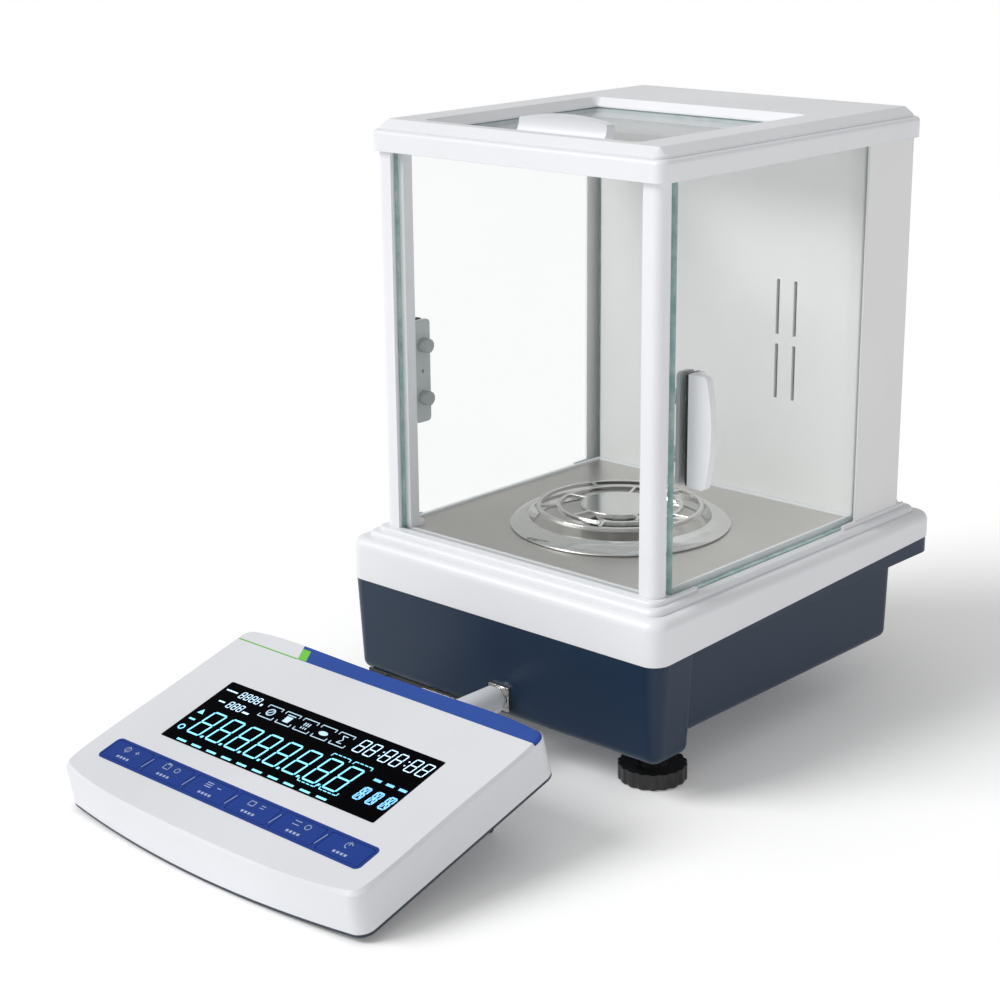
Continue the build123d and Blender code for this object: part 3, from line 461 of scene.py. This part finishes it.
# sign marks left of the digits and dashed brackets round the last two
marks = [[(-72.0, -2.9), (-68.0, -2.9), (-70.0, 0.6)], bar(-72.2, -8.0, -68.0, -8.0, 1.1)]
marks += ring(-70.2, -15.0, 1.7, 0.7)
for x, y in ((20.1, 5.0), (18.4, -18.4), (34.8, 5.0), (33.1, -18.4)):
    turn = 1 if y > 0 else -1
    for k in range(4):
        marks.append(bar(x + 3.0 * k, y, x + 3.0 * k + 2.2, y, 0.5))
    marks += [bar(x - 0.4, y - 1.9 * turn, x, y, 0.5), bar(x + 11.6, y, x + 11.8, y - 1.9 * turn, 0.5)]
flat_piece("display_marks", marks, on_window, cyan, "balance")

# three small digits with a cross stroke, and a dash over each
SIDE_LEFTS = (52.0, 60.2, 68.4)
side = []
for x in SIDE_LEFTS:
    side += seven(x, -16.0, 4.9, 9.6, 0.9)
    side += [bar(x + 1.6, -14.6, x + 4.2, -7.4, 0.7), bar(x + 3.9, -14.6, x + 2.2, -7.4, 0.7)]
    side.append(bar(x + 0.6, -0.8, x + 5.4, -0.8, 1.6))
flat_piece("display_side", side, on_window, blue, "balance")

# ---- keypad symbols -----------------------------------------------------------------
ink = moulded("keypad_ink", (0.36, 0.44, 0.68), 0.5)


def on_key(key):
    """Place function over one key's top, in mm from its middle."""
    low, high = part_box(key)
    mesh = nodes_3d[key].data
    top = max(vertex.co.dot(OUT) for vertex in mesh.vertices)
    across = (low.x + high.x) / 2
    slope = [vertex.co.dot(UP_SLOPE) for vertex in mesh.vertices]
    along = (min(slope) + max(slope)) / 2

    def place(x, y, lift):
        return Vector((across + x * MM, 0, 0)) + UP_SLOPE * (along + y * MM) + OUT * (top + lift * MM)

    return place


def plus(x, y, size):
    """Plus sign, size from its middle to its tips."""
    return [bar(x - size, y, x + size, y, 0.55), bar(x, y - size, x, y + size, 0.55)]


def frame_of(x0, y0, x1, y1, wide=0.5):
    """Outline of a rectangle."""
    return [
        bar(x0, y0, x1, y0, wide),
        bar(x1, y0, x1, y1, wide),
        bar(x1, y1, x0, y1, wide),
        bar(x0, y1, x0, y0, wide),
    ]


# plain marks in place of captions, in mm from each key's middle
symbols = {
    "key_1": plus(4.2, 2.6, 1.3) + ring(-3.0, 2.6, 1.7, 0.55) + [bar(-3.0, 0.1, -3.0, 5.1, 0.4)],
    "key_2": frame_of(-5.4, 0.9, -1.6, 4.2) + [bar(-4.8, 4.9, -2.2, 4.9, 0.6)] + ring(4.0, 2.6, 1.5, 0.5),
    "key_3": [bar(-5.4, y, -1.0, y, 0.6) for y in (1.2, 2.6, 4.0)] + [bar(2.8, 2.6, 5.4, 2.6, 0.6)],
    "key_4": frame_of(-5.0, 1.1, -1.4, 4.1) + [bar(2.6, 1.9, 5.4, 1.9, 0.5), bar(2.6, 3.5, 5.4, 3.5, 0.5)],
    "key_5": [bar(-5.4, 1.4, -1.0, 1.4, 0.5), bar(-5.4, 3.8, -1.0, 3.8, 0.5)] + ring(4.0, 2.6, 1.6, 0.5),
    "key_6": ring(0, 2.4, 1.9, 0.55)[1:-5] + [bar(0, 2.4, 0, 5.0, 0.55)],
}
for index, (key, shapes) in enumerate(symbols.items(), start=1):
    base_line = [bar(-4.6 + 2.4 * k, -3.4, -3.0 + 2.4 * k, -3.4, 1.5) for k in range(4)]
    flat_piece(f"key_symbol_{index}", shapes + base_line, on_key(key), ink, f"key_cap_{index}")

# ---- keypad separators and the green accent ----------------------------------------
cover_left, cover_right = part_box("console_cover")
CONSOLE_X = (cover_left.x + cover_right.x) / 2


def on_top(node):
    """Place function over a node's top face: x from the console's middle, y up the slope."""
    mesh = nodes_3d[node].data
    top = max(vertex.co.dot(OUT) for vertex in mesh.vertices)
    near = min(vertex.co.dot(UP_SLOPE) for vertex in mesh.vertices)

    def place(x, y, lift):
        return Vector((CONSOLE_X + x * MM, 0, 0)) + UP_SLOPE * (near + y * MM) + OUT * (top + lift * MM)

    return place


SEPARATOR_Y = (4.0, 11.5)  # above the film's near edge
SEPARATOR_LEAN = 0.7
SEPARATOR_WIDE = 0.5
foil_low, foil_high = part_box("keypad_foil")
pitch = (foil_high.x - foil_low.x) / MM / len(symbols)
foil_left = (foil_low.x - CONSOLE_X) / MM
separators = []
for index in range(1, len(symbols)):
    x = foil_left + pitch * index
    separators.append(
        bar(x - SEPARATOR_LEAN, SEPARATOR_Y[0], x + SEPARATOR_LEAN, SEPARATOR_Y[1], SEPARATOR_WIDE)
    )
flat_piece("keypad_separators", separators, on_top("keypad_foil"), ink, "balance")

# the strip's near left corner is at x = -57 mm; its left end leans outward to the rear
green = moulded("accent_green", (0.16, 0.56, 0.05), 0.4)
strip_edge = on_top("accent_strip")
green_band = [(-57.0, 0.15), (-51.0, 0.15), (-55.2, 8.1), (-61.2, 8.1)]
green_line = bar(-102.6, 0.0, -57.4, 0.0, 0.8)
flat_piece("green_accent", [green_band, green_line], strip_edge, green, "balance")

# ---- display cord -------------------------------------------------------------------
CORD_D = 4.4
COIL_MID = (-12.0, -243.0)
COIL_SLOTS = (28.6, 24.2, 19.8, 19.8, 24.2, 28.6)
COIL_HEIGHTS = (6.6, 6.6, 6.6, 2.2, 2.2, 2.2)
COIL_TURNS = 5.5
STEP = 30
TAIL = ((-36.6, -194.1, 28.6), (-36.6, -208.5, 24.5), (-42.3, -232.0, 7.3))
LEAD = (
    (14.5, -229.0, 2.4),
    (9.5, -213.0, 7.0),
    (5.5, -197.0, 19.0),
    (2.5, -179.0, 33.0),
    (2.5, -163.0, 33.0),
)


def coil_points():
    """Turns one diameter apart: inward on the upper layer, outward on the lower one."""
    tight = math.cos(math.radians(STEP / 2))
    changes = (510, 870, 1170, 1500, 1860)
    points = []
    for angle in range(180, int(180 + 360 * COIL_TURNS) + 1, STEP):
        place = sum(angle > change for change in changes)
        radius, height = COIL_SLOTS[place] / tight, COIL_HEIGHTS[place]
        turn = math.radians(angle)
        x = COIL_MID[0] + radius * math.cos(turn)
        y = COIL_MID[1] + radius * math.sin(turn)
        points.append((x, y, height))
    return points


route = [BASE + Vector(point) * MM for point in (*TAIL, *coil_points(), *LEAD)]
curve = bpy.data.curves.new("display_cord", "CURVE")
curve.dimensions = "3D"
curve.bevel_depth = CORD_D / 2 * MM
curve.bevel_resolution = 6
curve.resolution_u = 8
curve.use_fill_caps = True
spline = curve.splines.new("NURBS")
spline.points.add(len(route) - 1)
for point, spot in zip(spline.points, route):
    point.co = (*spot, 1)
spline.order_u = 3
spline.use_endpoint_u = True
display_cord = bpy.data.objects.new("display_cord", curve)
bpy.context.scene.collection.objects.link(display_cord)
display_cord.data.materials.append(paint["cord"])
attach(display_cord, "balance")
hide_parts("cable_lead", "cable_tail", "cable_coil")

# ---- stage, light and camera --------------------------------------------------------
AMBIENT = 0.5
FLOOR_GLOW = 0.11
KEY_TOWARDS = (-0.4, -0.62, 0.675)
KEY_POWER = 1.95
KEY_SPREAD = 32  # degrees
FLOOR_SIZE = 6.0  # metres from the middle to each side
FLOOR_DROP = 0.0002

scene = bpy.context.scene
scene.view_settings.view_transform = "Standard"
scene.view_settings.look = "None"

floor_mesh = bmesh.new()
bmesh.ops.create_grid(floor_mesh, x_segments=1, y_segments=1, size=FLOOR_SIZE)
floor_data = bpy.data.meshes.new("floor")
floor_mesh.to_mesh(floor_data)
floor_mesh.free()
floor = bpy.data.objects.new("floor", floor_data)
floor.location = (0, 0, -FLOOR_DROP)
scene.collection.objects.link(floor)
floor_material, floor_tree, floor_out = blank("studio_floor")
floor_shader = add_node(
    floor_tree, "ShaderNodeBsdfPrincipled", Base_Color=(1, 1, 1, 1), Roughness=0.7,
    Emission_Color=(1, 1, 1, 1), Emission_Strength=FLOOR_GLOW,
)
floor_shader.inputs["Specular IOR Level"].default_value = 0.1
floor_tree.links.new(floor_shader.outputs["BSDF"], floor_out.inputs["Surface"])
floor.data.materials.append(floor_material)

world = bpy.data.worlds.new("studio")
scene.world = world
world.use_nodes = True
world.node_tree.nodes["Background"].inputs["Color"].default_value = (1, 1, 1, 1)
world.node_tree.nodes["Background"].inputs["Strength"].default_value = AMBIENT


def sun(name, towards, power, spread):
    """Distant soft light; `towards` points at it from the part."""
    lamp = bpy.data.lights.new(name, "SUN")
    lamp.energy = power
    lamp.angle = math.radians(spread)
    source = bpy.data.objects.new(name, lamp)
    source.rotation_euler = Vector(towards).to_track_quat("Z", "Y").to_euler()
    scene.collection.objects.link(source)


sun("key_light", KEY_TOWARDS, KEY_POWER, KEY_SPREAD)

AZIMUTH = 42.74
ELEVATION = 17.05
ROLL = -0.57
FOCAL_SHARE = 2.0911  # focal length as a share of the picture's width
CAMERA_AT = Vector((687.4, -861.9, 448.9)) * MM + BASE
azimuth, elevation, roll = (math.radians(a) for a in (AZIMUTH, ELEVATION, ROLL))
back = Vector(
    (math.sin(azimuth) * math.cos(elevation), -math.cos(azimuth) * math.cos(elevation), math.sin(elevation))
)
level_right = Vector((math.cos(azimuth), math.sin(azimuth), 0))
level_up = back.cross(level_right)
right = level_right * math.cos(roll) + level_up * math.sin(roll)
up = level_up * math.cos(roll) - level_right * math.sin(roll)
camera_data = bpy.data.cameras.new("camera")
camera_data.sensor_width = 36
camera_data.lens = 36 * FOCAL_SHARE
camera_data.clip_start = 0.05
camera_data.clip_end = 50
camera = bpy.data.objects.new("camera", camera_data)
camera.matrix_world = Matrix.Translation(CAMERA_AT) @ Matrix((right, up, back)).transposed().to_4x4()
scene.collection.objects.link(camera)
scene.camera = camera
